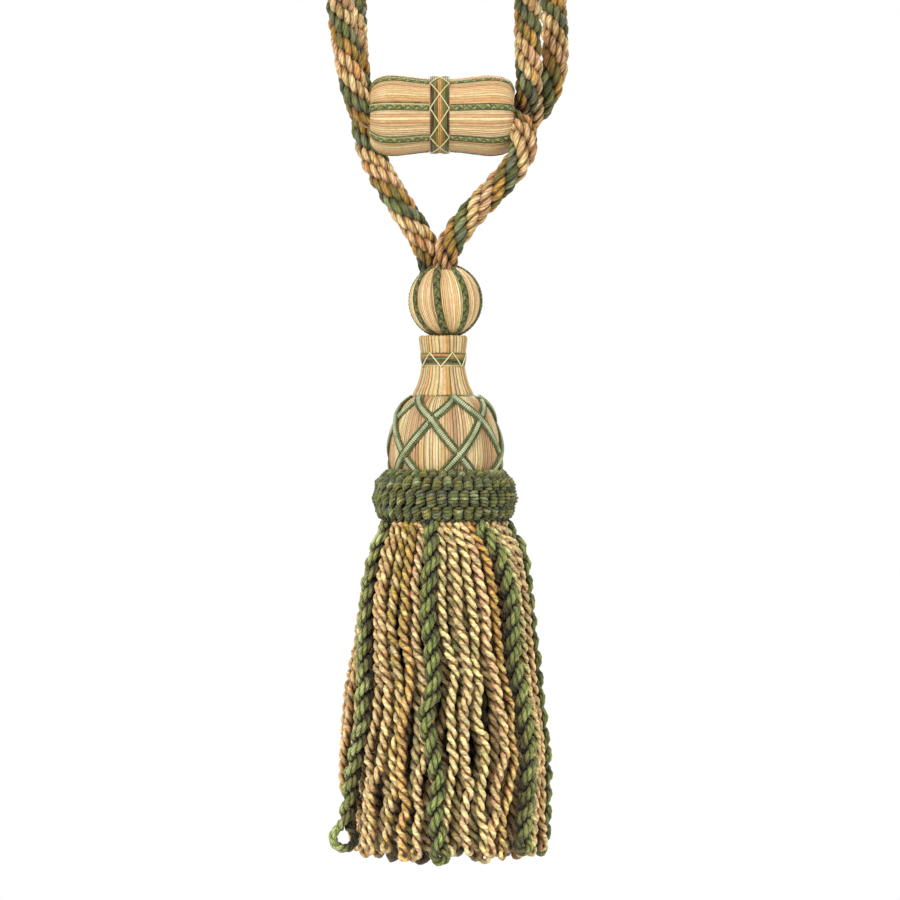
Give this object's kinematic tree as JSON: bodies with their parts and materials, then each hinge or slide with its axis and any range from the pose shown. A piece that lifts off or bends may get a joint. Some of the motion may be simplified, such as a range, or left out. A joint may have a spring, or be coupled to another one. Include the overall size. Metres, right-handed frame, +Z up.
{
  "type": "curtain tieback tassel",
  "caption": "Hanging key tassel with a bullion skirt, on a laid rope that runs through a thread-wound slide and ends in hooking loops.",
  "frame": {"origin": "on the tassel's axis, level with the underside of the two hooking loops' crowns", "axes": "+Z up along the hanging tassel, the front faces -Y, +X to the viewer's right"},
  "size_m": [0.0974, 0.087, 0.3823],
  "materials": {
    "rope": "laid rope of green, gold, cream and tan yarns",
    "silk": "lustrous cream, peach and gold threads with green braids",
    "band": "wound olive and brown thread with a cream cross stitch",
    "gimp": "ribbed light green gimp edged with dark green braid",
    "ruff": "knotted dark olive cord",
    "bullion": "twisted cream, tan and gold cords",
    "green_cord": "thick twisted green cord"
  },
  "bodies": {
    "root": {"rope_main": "rope", "rope_right": "rope", "slide": "silk", "slide_band": "band", "ball": "silk", "neck": "silk", "neck_band": "band", "dome": "silk", "dome_lattice": "gimp", "ruff": "ruff", "fringe_bullion": "bullion", "fringe_green": "green_cord"}
  },
  "joints": []
}
